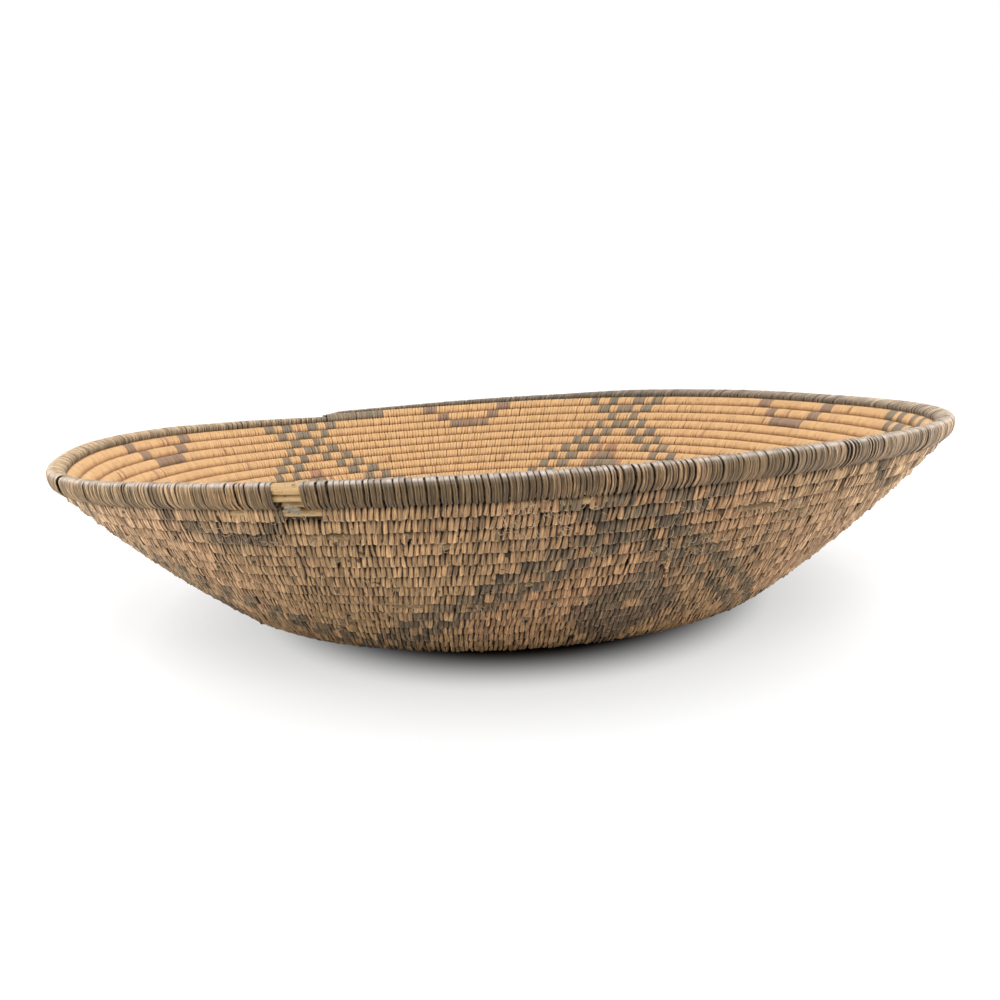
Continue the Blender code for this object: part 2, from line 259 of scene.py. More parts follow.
# Loose fibres outside: a hollow right of the middle is frayed most. Lengths in millimetres
FIBRES_PER_PLACE = 5
FIBRES_BESIDE = 0.5 * MM
FRAYED_PLACES = ((120, 30, 35, 286.0, 302.0), (70, 33, 36, 269.5, 276.0),
                 (50, 33, 35, 238.0, 249.0))
SCATTERED_FIBRES = 1100
SCATTERED_ROWS = 14
WORN_CURL, FRAYED_CURL, SCATTERED_CURL = 0.5, 1.0, 0.3
FIBRE_RINGS = 7
FIBRE_LENGTH = (1.2, 3.8)
FIBRE_STRAIGHT = 0.7
FIBRE_LONGER = 0.5
FIBRE_HEADING = (-0.5 * np.pi, 0.9)
FIBRE_BEND = 1.6
FIBRE_BEND_FROM = 0.4
FIBRE_UP = 2.6
FIBRE_LIFT = (3.45, 0.25)
FIBRE_ARCH = (0.2, 1.3, 2.4)
FIBRE_SIZE = (0.07, 0.15)
FIBRE_TAPER = 0.6

# A grey flake of torn bark hangs from the worn gap: fibres, azimuth, and reach up the wall
FLAKE_FIBRES = 90
FLAKE_AZIMUTH = math.radians(251.5)
FLAKE_HALF_WIDTH = 2.7 * MM
FLAKE_REACH = (0.8 * MM, 5.2 * MM)
FLAKE_ROUNDS = 0.5
FLAKE_HEADING = (0.3, 0.6)
FLAKE_LENGTH = (0.8, 2.4)
FLAKE_LIFT = (3.7, 4.3)
FLAKE_ARCH = (0.25, 3.0)
FLAKE_SIZE = (0.10, 0.20)
FLAKE_TAPER = 0.5

# Colours, linear. The inside has kept its own colour, the outside is weathered
LIGHT_INSIDE = (0.636, 0.390, 0.182)
LIGHT_OUTSIDE = (0.450, 0.274, 0.133)
RUDDY_OUTSIDE = (0.408, 0.225, 0.110)
# Painted light: the outside is paler towards the bowl's left and right
SIDE_LIT_OUTSIDE = (0.90, 0.63, 0.395)
DARK_INSIDE = (0.200, 0.168, 0.122)
DARK_OUTSIDE = (0.132, 0.104, 0.065)
RED_INSIDE = (0.34, 0.175, 0.110)
RED_OUTSIDE = (0.185, 0.118, 0.070)
RIM_COLOUR = (0.102, 0.066, 0.029)
RIM_INSIDE_COLOUR = (0.202, 0.163, 0.116)
# Painted light: the rim is paler towards its left and right ends
RIM_SIDE_LIT_COLOUR = (0.66, 0.50, 0.35)
RIM_SHADE_COLOUR = (0.050, 0.044, 0.032)
# Painted highlight along the rim's crest
RIM_CREST_GLINT_COLOUR = (0.82, 0.72, 0.63)
# Painted highlight beside the edges of each wrap
RIM_RIDGE_HIGHLIGHT_COLOUR = (0.46, 0.33, 0.22)
RIM_WORN_COLOUR = (0.34, 0.195, 0.095)
RIM_WARM = (1.08, 0.98, 0.80)
ROD_CLEAN = (0.50, 0.325, 0.150)
# Painted shade on rods that lie under splints, also the colour of dark marks on the rods
ROD_SHADE_AND_MARKS = (0.050, 0.028, 0.014)
# Dirt in specks, and painted shade in joints, gaps and under lips
GRIME_AND_SHADE = (0.026, 0.016, 0.009)
# Painted shade in the grooves between the coils inside, and in the joints between splints there
GROOVE_SHADE_INSIDE = (0.33, 0.165, 0.070)
FIBRE_COLOUR = (0.63, 0.47, 0.29)
FLAKE_COLOUR = (0.42, 0.355, 0.255)
WHITE = (1.0, 1.0, 1.0)

# Noise drawn out along a splint has its stretch first, and noise in space its scale. Both
# then have their detail and roughness
FINE_GRAIN = ((5.0, 0.30, 1.0), 4.0, 0.65)
BROAD_GRAIN = ((1.6, 0.14, 1.0), 2.0, 0.5)
STRIP_GRAIN = ((1.7, 0.05, 1.0), 2.0, 0.6)
FIBRE_GRAIN = ((1.0, 1.5, 1.0), 3.0, 0.6)
ROD_GRAIN = ((2.6, 0.16, 1.0), 5.0, 0.65)
SOIL_NOISE = (22.0, 4.0, 0.55)
RUDDY_NOISE = (11.0, 2.0, 0.5)
SPECK_NOISE = (330.0, 2.0, 0.5)
PATCH_NOISE = (26.0, 3.0, 0.5)
MARK_NOISE = (420.0, 3.0, 0.6)

# Ramps: from the first two values to 0 and 1, or to the last two where there are four. A pair
# named BY_SIDE holds for the inside and the outside, and one named OWN for single splints
# Painted light on the outside, paler towards the left and right, in streaks
SIDE_LIGHT_REACH = (0.076, RIM_RADIUS)
SIDE_LIGHT_STREAKS = (0.36, 0.60, 0.25, 0.95)
RUDDY_PATCHES = (0.44, 0.60, 0.0, 0.75)
# How much of the painted side light the dark dye takes
BLACK_SIDE_LIT = 0.45
DYE_RUBBED = (0.45, 0.68, 0.0, 0.50)
OWN_OUTSIDE = (0.78, 1.20)
OWN_INSIDE = (0.93, 1.06)
FINE_INSIDE = (0.30, 0.72, 0.78, 1.14)
FINE_OUTSIDE = (0.34, 0.68, 0.54, 1.38)
STREAKS = (0.32, 0.68, 0.56, 1.36)
STREAKS_BY_SIDE = (0.25, 1.0)
SOILED = (0.32, 0.70, 0.80, 1.08)
TIP_FRAYS = (TIP_AT - 1.2, TIP_AT - 0.1)
TIP_STREAKS = (0.42, 0.60)
TIP_PALE = 0.80
# Dirt and painted shade where a splint comes out from under the lip of the row above
TUCKED_DIRT_AND_SHADE = (2.0, 5.3, 0.95, 0.0)
# Painted shade inside, near the grooves between the coils
LOW_GROOVE_SHADE = (GROOVES_AT[0] + 0.2, GROOVES_AT[0] + 3.0, 0.7, 0.0)
HIGH_GROOVE_SHADE = (GROOVES_AT[1] - 0.9, GROOVES_AT[1], 0.0, 0.4)
# Grime and painted shade in the joints between splints
SEAM_GRIME_AND_SHADE = (0.72, 1.0)
SEAM_GRIME_AND_SHADE_BY_SIDE = (0.32, 0.95)
SPECKS = (0.66, 0.72)
SPECKS_BY_SIDE = (0.25, 0.8)
SPLINT_ROUGH = (0.3, 0.7, 0.48, 0.66)
ROUGHER_OUTSIDE = 0.14
SPLINT_BUMP = (1.4, 0.7, 0.00022)
SHINE = 0.35
RIM_RUBBED = (0.42, 0.60, 0.0, 0.8)
RIM_RUBBED_OWN = (-0.30, 0.16)
RIM_RUBBED_STREAKS = (0.38, 0.66, 0.10, 1.0)
RIM_RUBBED_BY_SIDE = (0.15, 1.0)
# Painted light, paler towards the rim's left and right ends
RIM_SIDE_LIGHT_MIDDLE = 0.012
RIM_SIDE_LIGHT = (0.076, 0.138, 0.0, 0.34)
RIM_ENDS_LIGHT = (0.160, RIM_RADIUS, 0.0, 0.50)
RIM_PLAIN_SIDE_LIT = 0.30
RIM_SIDE_LIT_STREAKS = (0.36, 0.62, 0.10, 0.95)
RIM_SHADED = 0.72
RIM_FINE = (0.34, 0.68, 0.42, 1.65)
RIM_WARM_SIDE = (-0.09, 0.06, 1.0, 0.0)
RIM_STRIPS = (0.38, 0.62, 0.52, 1.45)
# Painted highlight in a thin band beside each wrap's edges
RIM_RIDGE_HIGHLIGHT = ((0.34, 0.50), (0.58, 0.74, 1.0, 0.0))
RIM_RIDGE_HIGHLIGHT_STREAKS = (0.40, 0.60, 0.10, 0.42)
RIM_GLINT = (-0.02, 0.04, 0.8, 0.25)
# How strong the painted highlight along the crest is, from wrap to wrap
RIM_CREST_GLINTS = (0.5, 1.0)
# Painted shade in the gaps between the rim's wraps
RIM_SEAM_SHADE = (0.78, 1.0, 0.0, 0.9)
RIM_ROUGH = (0.3, 0.7, 0.40, 0.62)
RIM_BUMP = (1.2, 0.9, 0.00045)
RIM_SHINE = 0.32
STRAW_OWN = (1.0, 0.4)
FIBRE_FINE = (0.3, 0.7, 0.45, 1.1)
FIBRE_FINISH = (0.7, 0.3)
ROD_FINE = (0.3, 0.72, 0.62, 1.18)
ROD_MARKS = (0.60, 0.72, 0.0, 0.65)
ROD_ROUGH = (0.3, 0.7, 0.55, 0.75)
ROD_BUMP = (0.5, 0.0002)

# Camera, as fitted to the photograph's outlines: 1000 by 1000 pixels
CAMERA_PLACE = (0.0, -0.53165, 0.1232)
CAMERA_LENS = 36.3
CAMERA_PITCH = 0.151
CAMERA_ROLL = -0.0465

# Light, and the floor with the bowl's shadow and a painted contact shadow round its base
AMBIENT = 0.62
AMBIENT_SIDES = 3.2
AMBIENT_POWER = 3.0
LAMPS = (("key", 1.7, 30.0, (38.0, 10.0, 0.0)), ("back", 0.8, 30.0, (-40.0, -10.0, 0.0)))
FLOOR_SIZE = 30.0
FLOOR_HEIGHT = -0.0002
FLOOR_BOUNCE = (0.90, 0.90, 0.90)
FLOOR_SEEN = (0.24, 0.24, 0.24)
FLOOR_GLOW = 0.80
# Painted contact shadow round the base: its colour, and the shape and reach of the painted shadow
CONTACT_SHADOW_SEEN = (0.020, 0.018, 0.014)
CONTACT_EDGE = 0.134
CONTACT_REACH = 0.184
CONTACT_SHAPE = (1.40, 1.0, 1.0)
CONTACT_SHIFT = (-0.007, 0.0, 0.0)
SHADOW_REACH = 0.255
SHADOW_DEEPEST = 0.60


def wall_point(distance):
    """Radius, height and slope of the wall's middle surface at a distance along it."""
    distance = np.asarray(distance, float)
    beyond = distance - BASE_RADIUS
    in_bend = beyond <= BEND_LENGTH
    slope = np.where(in_bend, beyond / EDGE_BEND_RADIUS,
                     BEND_SLOPE + (beyond - BEND_LENGTH) / WALL_CURVE_RADIUS)
    centre_r = np.where(in_bend, BEND_CENTRE[0], WALL_CENTRE[0])
    centre_z = np.where(in_bend, BEND_CENTRE[1], WALL_CENTRE[1])
    arc = np.where(in_bend, EDGE_BEND_RADIUS, WALL_CURVE_RADIUS)
    on_base = beyond <= 0.0
    slope = np.where(on_base, 0.0, slope)
    radius = np.where(on_base, distance, centre_r + arc * np.sin(slope))
    height = np.where(on_base, MIDDLE_HEIGHT, centre_z - arc * np.cos(slope))
    return radius, height, slope


def rim_rise(azimuth):
    """How far the rim lies above its true height, on a smooth curve through RIM_RISE."""
    place = (azimuth / FULL_TURN) % 1.0 * len(RIM_RISE)
    first = np.floor(place).astype(int)
    part = place - first
    before, start, end, after = (RIM_RISE[(first + step) % len(RIM_RISE)]
                                 for step in (-1, 0, 1, 2))
    return (start + part * (end - before) / 2.0
            + part ** 2 * (before - 2.5 * start + 2.0 * end - after / 2.0)
            + part ** 3 * (1.5 * (start - end) + (after - before) / 2.0))


def to_space(distance, azimuth, depth):
    """Points in space from distance along the wall, azimuth and depth towards the inside."""
    radius, height, slope = wall_point(distance)
    lift = (height - MIDDLE_HEIGHT) / (RIM_HEIGHT - MIDDLE_HEIGHT)
    out = radius - depth * np.sin(slope)
    up = height + lift * rim_rise(azimuth) + depth * np.cos(slope)
    return np.stack([out * np.cos(azimuth) + lift * RIM_SHIFT, out * np.sin(azimuth), up], -1)


def turn_share(azimuth):
    """The share of its turn that the coil has run at an azimuth."""
    return ((azimuth - COIL_END_AZIMUTH) / FULL_TURN) % 1.0


def seam_distance(seam, share):
    """Distance of a seam along the wall, at a share of a turn. Seam 0 is the knot's edge."""
    if seam == 0:
        return KNOT_RADIUS + TIP_WIDTH * share
    return FIRST_SEAM + PITCH * (seam - 1 + share)


def turn_row(turn, share):
    """Distance of a turn's middle along the wall, and its height as a share of PITCH."""
    low, high = seam_distance(turn - 1, share), seam_distance(turn, share)
    return (low + high) / 2.0, (high - low) / PITCH


def rim_scale(share):
    """Size of the rim's section at a share of its turn, in proportion between RIM_SIZES."""
    return np.interp(share * 360.0, RIM_SIZES[:, 0], RIM_SIZES[:, 1])


def waver(random, count, size, every):
    """A wavering factor of count values, with a new random value at every so many."""
    knots = random.standard_normal(count // every + 1)
    places = np.linspace(0.0, len(knots) - 1.0, count)
    return size * np.interp(places, np.arange(len(knots)), knots)


def fill_mesh(name, points, faces, material, vectors=None, tints=None, unwrapped=None):
    """Makes an object from arrays of points and four-cornered faces, with its attributes."""
    mesh = bpy.data.meshes.new(name)
    mesh.vertices.add(len(points))
    mesh.vertices.foreach_set("co", points.astype(np.float32).ravel())
    mesh.loops.add(faces.size)
    mesh.loops.foreach_set("vertex_index", faces.astype(np.int32).ravel())
    mesh.polygons.add(len(faces))
    mesh.polygons.foreach_set("loop_start", np.arange(0, faces.size, 4, dtype=np.int32))
    mesh.update(calc_edges=True)
    if vectors is not None:
        run = mesh.attributes.new("run", "FLOAT_VECTOR", "POINT")
        run.data.foreach_set("vector", vectors.astype(np.float32).ravel())
        tint = mesh.attributes.new("tint", "FLOAT_COLOR", "POINT")
        tint.data.foreach_set("color", tints.astype(np.float32).ravel())
        layer = mesh.uv_layers.new(name="OFBake")
        layer.uv.foreach_set("vector", unwrapped.astype(np.float32).ravel())
    mesh.materials.append(material)
    mesh.shade_smooth()
    mesh.set_sharp_from_angle(angle=SHARP_ANGLE)
    piece = bpy.data.objects.new(name, mesh)
    bpy.context.scene.collection.objects.link(piece)
    return piece


def grid_faces(count, rings, sides, closed):
    """Faces of count tubes of rings times sides points. A closed tube joins its own ends."""
    spans = rings if closed else rings - 1
    ring, side = np.meshgrid(np.arange(spans), np.arange(sides), indexing="ij")
    after, beside = (ring + 1) % rings, (side + 1) % sides
    one = np.stack([ring * sides + side, ring * sides + beside,
                    after * sides + beside, after * sides + side], -1).reshape(-1, 4)
    return (one[None] + (np.arange(count) * rings * sides)[:, None, None]).reshape(-1, 4)


def grid_unwrapped(count, rings, sides, closed, slimness):
    """A map that lays each tube in a cell of its own, with its length up the cell."""
    spans = rings if closed else rings - 1
    columns = math.ceil(math.sqrt(count * slimness))
    rows = math.ceil(count / columns)
    ring, side = np.meshgrid(np.arange(spans), np.arange(sides), indexing="ij")
    corners = np.stack([np.stack([side + right, ring + up], -1)
                        for right, up in ((0, 0), (1, 0), (1, 1), (0, 1))], -2)
    one = MAP_MARGIN + MAP_INSIDE * (corners.reshape(-1, 4, 2) / np.array([sides, spans]))
    index = np.arange(count)
    cell = np.stack([index % columns, index // columns], -1)
    return (one[None] + cell[:, None, None]).reshape(-1, 2) / np.array([columns, rows])


def stacked(shape, *values):
    """Values that are spread to one shape, then stacked and listed point by point."""
    spread = np.stack([np.broadcast_to(value, shape) for value in values], -1)
    return spread.reshape(-1, len(values))


def lengths(steps):
    """Millimetres from the start of each row of steps to each of its points."""
    return np.concatenate([np.zeros((len(steps), 1)), np.cumsum(steps, 1)], 1)[..., None] / MM


def make_bands(name, distance, azimuth, depth, half_angle, dark, red, outside, seed, material,
               section=SECTION):
    """One mesh of closed bands. The arrays have a row for each band, a column per station."""
    count, stations = distance.shape
    tangent_d = np.roll(distance, -1, 1) - np.roll(distance, 1, 1)
    tangent_b = np.roll(depth, -1, 1) - np.roll(depth, 1, 1)
    size = np.hypot(tangent_d, tangent_b) + TINY
    normal_d, normal_b = -tangent_b / size, tangent_d / size
    across, proud = section[:, 0], section[:, 1] * SPLINT
    tilt = np.random.default_rng(len(name) + count).normal(0.0, STRAY_TILT, (count, 1))
    tilt = tilt * (TILT_INSIDE + (1.0 - TILT_INSIDE) * outside)
    rise = proud + tilt[..., None] * across
    place_d = distance[..., None] + normal_d[..., None] * rise
    place_b = depth[..., None] + normal_b[..., None] * rise
    place_a = azimuth[..., None] + half_angle[..., None] * across
    points = to_space(place_d, place_a, place_b)
    points[..., 2] = np.maximum(points[..., 2], LOWEST)
    steps = np.hypot(np.diff(distance, axis=1), np.diff(depth, axis=1))
    full, seed = (count, stations, len(across)), seed[:, None, None]
    run = stacked(full, across, lengths(steps), seed * BAND_SEEDS_APART)
    tint = stacked(full, dark.reshape(count, -1, 1), red.reshape(count, -1, 1),
                   outside[:, None], seed)
    piece = fill_mesh(name, points.reshape(-1, 3), grid_faces(*full, True), material, run, tint,
                      grid_unwrapped(*full, True, BAND_SLIMNESS))
    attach(piece, BODY)
    return piece


def off_middle(degrees, middle):
    """How far degrees lie to either side of a middle, round the circle."""
    return (degrees - middle + 180.0) % 360.0 - 180.0


def rows_from_rim(turn, share, middle):
    """Rows down from the rim at a motif, along the coil and not across its start of turn."""
    return TURNS + 1 - turn - np.rint(share - turn_share(math.radians(middle)))


def pattern(turn, azimuth, random):
    """How dark and how red the splints of a turn are: the lattices, brackets and coil end."""
    degrees = np.degrees(azimuth)
    share = turn_share(azimuth)
    dark, red = np.zeros((2, len(azimuth)))
    for middle, width, fullness, diamond in LATTICES:
        away = np.abs(off_middle(degrees, middle))
        row = rows_from_rim(turn, share, middle)
        square = width * np.interp(row, SQUARE_GROWTH[:, 0], SQUARE_GROWTH[:, 1])
        place = (away + random.normal(0.0, LATTICE_STRAY)) / square + COLUMN_SHIFT
        more = (fullness - 1.0) / 2.0
        others = [(other[0] - middle) % 360.0 for other in LATTICES if other[0] != middle]
        reach = np.where((degrees - middle) % 360.0 < 180.0, min(others), 360.0 - max(others))
        near = (row >= 1) & (row <= LATTICE_ROWS) & (away < reach / 2.0 + width / 2.0)
        for crossing in CROSSING_ROWS:
            column = np.abs(row - crossing)
            starts = np.where(column == 0, -1.0, column - more)
            dark[near & (place >= starts) & (place < column + 1.0 + more)] = 1.0
        away = np.abs(off_middle(degrees, diamond))
        half = DIAMOND_SLOPE * np.minimum(row - DIAMOND_TOP, DIAMOND_FOOT - row)
        inside = (half > 0.0) & (away < half)
        inside &= (row != DIAMOND_EYE[0]) | (away > DIAMOND_EYE[1])
        dark[inside] = 1.0
        red[inside & (row >= DIAMOND_BROWN_ROW)] = DIAMOND_RED
        fringe = (half > -1.0) & (row < DIAMOND_FOOT) & (away >= half)
        fringe &= away < np.maximum(half, DIAMOND_FRINGE_FROM) + DIAMOND_FRINGE
        fringe &= (random.random(len(azimuth)) < FRINGE_STITCHES) & (dark == 0.0)
        red[fringe] = FRINGE_RED
    for middle in BRACKETS:
        away = np.abs(off_middle(degrees, middle))
        row = rows_from_rim(turn, share, middle)
        for index, (near_edge, far_edge) in enumerate(BRACKET_BANDS):
            band = (row == index + 1) & (away >= near_edge) & (away < far_edge)
            dark[band] = BRACKET_DARK
            red[band] = BRACKET_RED
    if turn == TURNS:
        at_end = (1.0 - share) * 360.0 < DARK_END
        dark[at_end] = 1.0
        red[at_end] = 0.0
    return dark, red


def wear(turn, azimuth, random):
    """Which splints of a turn are worn through outside: all of it, or all but a stub."""
    bare = random.random(len(azimuth)) < RANDOM_BARE
    stub = random.random(len(azimuth)) < RANDOM_STUBS
    degrees = np.degrees(azimuth) % 360.0
    for worn_turn, middle, lost, left in WORN_PLACES:
        if worn_turn != turn:
            continue
        width = math.degrees(lost * STITCH_PITCH / wall_point(seam_distance(turn, 0.0))[0])
        spot = np.abs(degrees - middle) < width / 2.0
        (bare if left == "bare" else stub)[spot] = True
    return bare, stub & ~bare


def make_turn_splints(turn, material):
    """Every splint sewn round one turn of the coil."""
    random = np.random.default_rng(1000 + turn)
    middle = turn_row(turn, 0.5)[0]
    radius = float(wall_point(middle)[0])
    count = round(FULL_TURN * radius / STITCH_PITCH)
    share = (np.arange(count) + 0.5) / count
    share = share + random.normal(0.0, STRAY_ALONG / (FULL_TURN * radius), count)
    azimuth = COIL_END_AZIMUTH + FULL_TURN * share
    centre, fit = turn_row(turn, share)
    up = STITCH_WAY[:, 0] * np.ones((count, 1))
    depth = STITCH_WAY[:, 1] * np.ones((count, 1))
    up[:, LIP:LIP + 2] += np.abs(random.normal(0.0, STRAY_END, (count, 1))) - STRAY_END
    depth[:, OUTER] += random.normal(0.0, STRAY_DEPTH, (count, 1))
    depth[:, INNER] += random.normal(0.0, STRAY_DEPTH_INSIDE, (count, 1))
    depth[:, LIP - 1:LIP + 2] -= np.abs(random.normal(0.0, STRAY_CURL, (count, 1))) * LIP_CURLS
    bare, stub = wear(turn, azimuth, random)
    buried = np.where(bare[:, None, None], BURIED, np.stack(
        [up[:, OUTER], depth[:, OUTER]], -1))
    buried[stub, :STUB_STATIONS] = BURIED[:STUB_STATIONS]
    up[:, OUTER], depth[:, OUTER] = buried[..., 0], buried[..., 1]
    if middle < BASE_RADIUS:
        depth = np.maximum(depth, LOWEST_ON_BASE)
    distance = centre[:, None] + up * fit[:, None]
    lean = np.zeros(STATIONS)
    lean[OUTER] = math.tan(LEAN_OUTSIDE)
    lean[INNER] = math.tan(LEAN_INSIDE)
    stray = np.tan(random.normal(0.0, STRAY_LEAN, (count, 1)))
    loose = np.ones(STATIONS)
    loose[INNER] = WIDTH_INSIDE
    more, front, spread = LEAN_FRONT
    off = off_middle(np.degrees(azimuth), front)
    front_lean = math.tan(more) * np.exp(-(off / spread) ** 2)[:, None] * (lean > 0.0)
    slant = lean + front_lean + stray * np.maximum(loose, LEAN_STRAY_INSIDE)
    slant = slant * up / radius
    half = STITCH_WAY[:, 2] * (1.0 + random.normal(0.0, STRAY_WIDTH, (count, 1)) * loose)
    half = half * (1.0 + random.normal(0.0, STRAY_TAPER, (count, STATIONS)) * loose)
    half = half * (FULL_TURN * radius / count / STITCH_PITCH) / radius
    dark, red = pattern(turn, azimuth, random)
    red[(random.random(count) < THIN_REDS) & (dark == 0.0)] = THIN_RED
    faded = random.random(count)
    dark = dark * np.where((faded < FADED_STITCHES) & (turn < TURNS), FADED_DARK,
                           1.0 - DARK_VARIES + DARK_VARIES * faded)
    outside = np.zeros(STATIONS)
    outside[OUTER.start:INNER.start] = 1.0
    name = f"coil_turn_{turn:02d}"
    piece = make_bands(name + "_splints", distance, azimuth[:, None] + slant, depth, half,
                       dark, red, outside, random.random(count), material)
    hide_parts(name)


def make_tubes(name, centres, radius, exposure, material):
    """Closed tubes along rows of points in space, each with its radius and its exposure."""
    count, rings = centres.shape[:2]
    angle = np.arange(ROD_SIDES) * FULL_TURN / ROD_SIDES
    along = np.gradient(centres, axis=1)
    along /= np.linalg.norm(along, axis=-1, keepdims=True)
    outward_and_up = centres * (1.0, 1.0, 0.0) + (0.0, 0.0, 0.02)
    side = np.cross(along, outward_and_up)
    side /= np.linalg.norm(side, axis=-1, keepdims=True)
    other = np.cross(along, side)
    points = (centres[..., None, :]
              + radius[..., None, None] * (np.cos(angle)[:, None] * side[..., None, :]
                                           + np.sin(angle)[:, None] * other[..., None, :]))
    points[..., 2] = np.maximum(points[..., 2], LOWEST)
    full = (count, rings, ROD_SIDES)
    steps = np.linalg.norm(np.diff(centres, axis=1), axis=-1)
    index = np.arange(count)[:, None, None]
    run = stacked(full, angle, lengths(steps), index * TUBE_SEEDS_APART)
    tint = stacked(full, 0.0, 0.0, exposure[..., None], index * GOLDEN_SHARE % 1.0)
    fan = np.array([(0, side, side + 1, side + 2) for side in range(1, ROD_SIDES - 1, 2)])
    ends = np.concatenate([ROD_SIDES - 1 - fan, (rings - 1) * ROD_SIDES + fan])
    ends = (ends + index * rings * ROD_SIDES).reshape(-1, 4)
    faces = np.concatenate([grid_faces(*full, False), ends])
    unwrapped = np.concatenate([grid_unwrapped(*full, False, TUBE_SLIMNESS),
                                np.tile(END_MAP, (len(ends), 1))])
    piece = fill_mesh(name, points.reshape(-1, 3), faces, material, run, tint, unwrapped)
    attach(piece, BODY)
    return piece


def make_turn_rods(turn, material):
    """The three rods under the splints of one turn, pale where the splints are worn off and in
    painted shade elsewhere.
    """
    random = np.random.default_rng(2000 + turn)
    radius = float(wall_point(turn_row(turn, 0.5)[0])[0])
    rings = max(int(FULL_TURN * radius / ROD_STEP), FEWEST_ROD_STEPS) + 1
    share = np.linspace(0.0, 1.0, rings)
    azimuth = COIL_END_AZIMUTH + FULL_TURN * share
    centre, fit = turn_row(turn, share)
    distance = centre + COIL_RODS[:, :1] * fit
    depth = COIL_RODS[:, 1:] * np.ones(rings)
    size = np.stack([COIL_ROD_RADIUS * fit * (1.0 + waver(random, rings, *ROD_WAVER))
                     for _ in COIL_RODS])
    exposure = np.zeros(rings)
    degrees = np.degrees(azimuth) % 360.0
    for worn_turn, place, lost, _ in WORN_PLACES:
        if worn_turn == turn:
            width = math.degrees(lost * STITCH_PITCH / radius) / 2.0 + BARE_BESIDE
            exposure[np.abs(degrees - place) < width] = 1.0 if turn == TURNS else BARE_BELOW_RIM
    piece = make_tubes(f"coil_turn_{turn:02d}_rods", to_space(distance, azimuth, depth),
                       size, np.broadcast_to(exposure, size.shape), material)


def make_start_knot(material):
    """The button in the middle of the base: splints wound over it from rim to centre."""
    random = np.random.default_rng(3000)
    count, way = KNOT_SPLINTS, KNOT_WAY
    stray_along, stray_out, stray_up = KNOT_STRAYS
    azimuth = (np.arange(count) + 0.5) * FULL_TURN / count + random.normal(0.0, stray_along, count)
    to_coil = 1.0 + TIP_WIDTH * turn_share(azimuth)[:, None] / KNOT_RADIUS
    distance = to_coil * way[:, 0] * (1.0 + random.normal(0.0, stray_out, (count, 1)))
    depth = way[:, 1] + random.normal(0.0, stray_up, (count, 1)) * (way[:, 1] > 0)
    half = np.pi / count * KNOT_SPLINT_WIDTH * np.ones_like(distance)
    slant = KNOT_LEAN * way[:, 1] / KNOT_LEAN_DEPTH
    outside = (way[:, 1] < 0.0).astype(float)
    piece = make_bands("start_knot_splints", distance, azimuth[:, None] + slant, depth, half,
                       np.zeros(count), np.zeros(count), outside, random.random(count), material)
    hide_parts("start_knot")


def make_rim_wrap(name, start, end, material):
    """The splints wound round the rim's rods on one side of the worn gap."""
    random = np.random.default_rng(4000 + len(name))
    arc = (end - start) * FULL_TURN * RIM_RADIUS
    count = round(arc / STITCH_PITCH)
    share = start + (np.arange(count) + 0.5) / count * (end - start)
    share = share + random.normal(0.0, RIM_STRAY_ALONG / (FULL_TURN * RIM_RADIUS), count)
    azimuth = COIL_END_AZIMUTH + FULL_TURN * share
    away = np.abs(azimuth - RIM_LOST_WRAP) * RIM_RADIUS
    kept = away > RIM_LOST_STITCHES * STITCH_PITCH
    arc = arc * kept.sum() / count
    share, azimuth, count = share[kept], azimuth[kept], int(kept.sum())
    scale = rim_scale(np.clip(share, 0.0, 1.0))[:, None]
    up = RIM_WAY[:, 0] * scale
    up[:, RIM_LIP] += random.normal(0.0, STRAY_END, (count, 1))
    swell = random.normal(0.0, STRAY_DEPTH, (count, 1))
    depth = (RIM_WAY[:, 1] + np.sign(RIM_WAY[:, 1]) * swell) * scale
    distance = seam_distance(TURNS, share)[:, None] + GAP / 2.0 + up
    inward = (RIM_WAY[:, 1] - RIM_WAY[:, 1].min()) / np.ptp(RIM_WAY[:, 1])
    lean = math.tan(RIM_LEAN_OUTSIDE) * (1.0 - inward) + math.tan(RIM_LEAN_INSIDE) * inward
    stray = np.tan(random.normal(0.0, RIM_STRAY_LEAN, (count, 1)))
    slant = (lean + stray) * (up - RIM_LEANS_ABOUT) / RIM_RADIUS
    half = RIM_WAY[:, 2] * (RIM_WIDTH + random.normal(0.0, RIM_STRAY_WIDTH, (count, 1)))
    half = half * (arc / count / STITCH_PITCH) / RIM_RADIUS
    outside = np.zeros(len(RIM_WAY))
    outside[RIM_OUTER] = 1.0
    # Painted highlight along the crest, of its own strength for each wrap
    crest_glint = RIM_CREST_GLINT * random.uniform(*RIM_CREST_GLINTS, (count, 1))
    piece = make_bands(name + "_splints", distance, azimuth[:, None] + slant, depth, half,
                       np.tile(RIM_SHADE, (count, 1)), crest_glint, outside, random.random(count),
                       material, RIM_SECTION)
    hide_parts(name)


def make_rim_rod(name, up_wall, to_inside, swell, material):
    """One rod of the rim's foundation, bare and a little swollen in the worn gap."""
    random = np.random.default_rng(5000 + len(name))
    rings = int(FULL_TURN * RIM_RADIUS / (ROD_STEP / 2.0)) + 1
    share = np.linspace(*RIM_ROD_ENDS, rings)
    azimuth = COIL_END_AZIMUTH + FULL_TURN * share
    scale = rim_scale(share)
    distance = (seam_distance(TURNS, share) + GAP / 2.0 + scale * up_wall)[None]
    depth = (scale * to_inside)[None]
    away = np.abs(azimuth - WORN_GAP_AZIMUTH) * RIM_RADIUS
    bare = np.clip(RIM_ROD_BARE - away / RIM_ROD_FADES, 0.0, 1.0)
    wavering = waver(random, rings, *RIM_ROD_WAVER)
    size = RIM_ROD_RADIUS * scale * (1.0 + wavering + swell * bare)
    piece = make_tubes(name + "_peeled", to_space(distance, azimuth, depth), size[None],
                       (bare > 0.0)[None].astype(float), material)
    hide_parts(name)


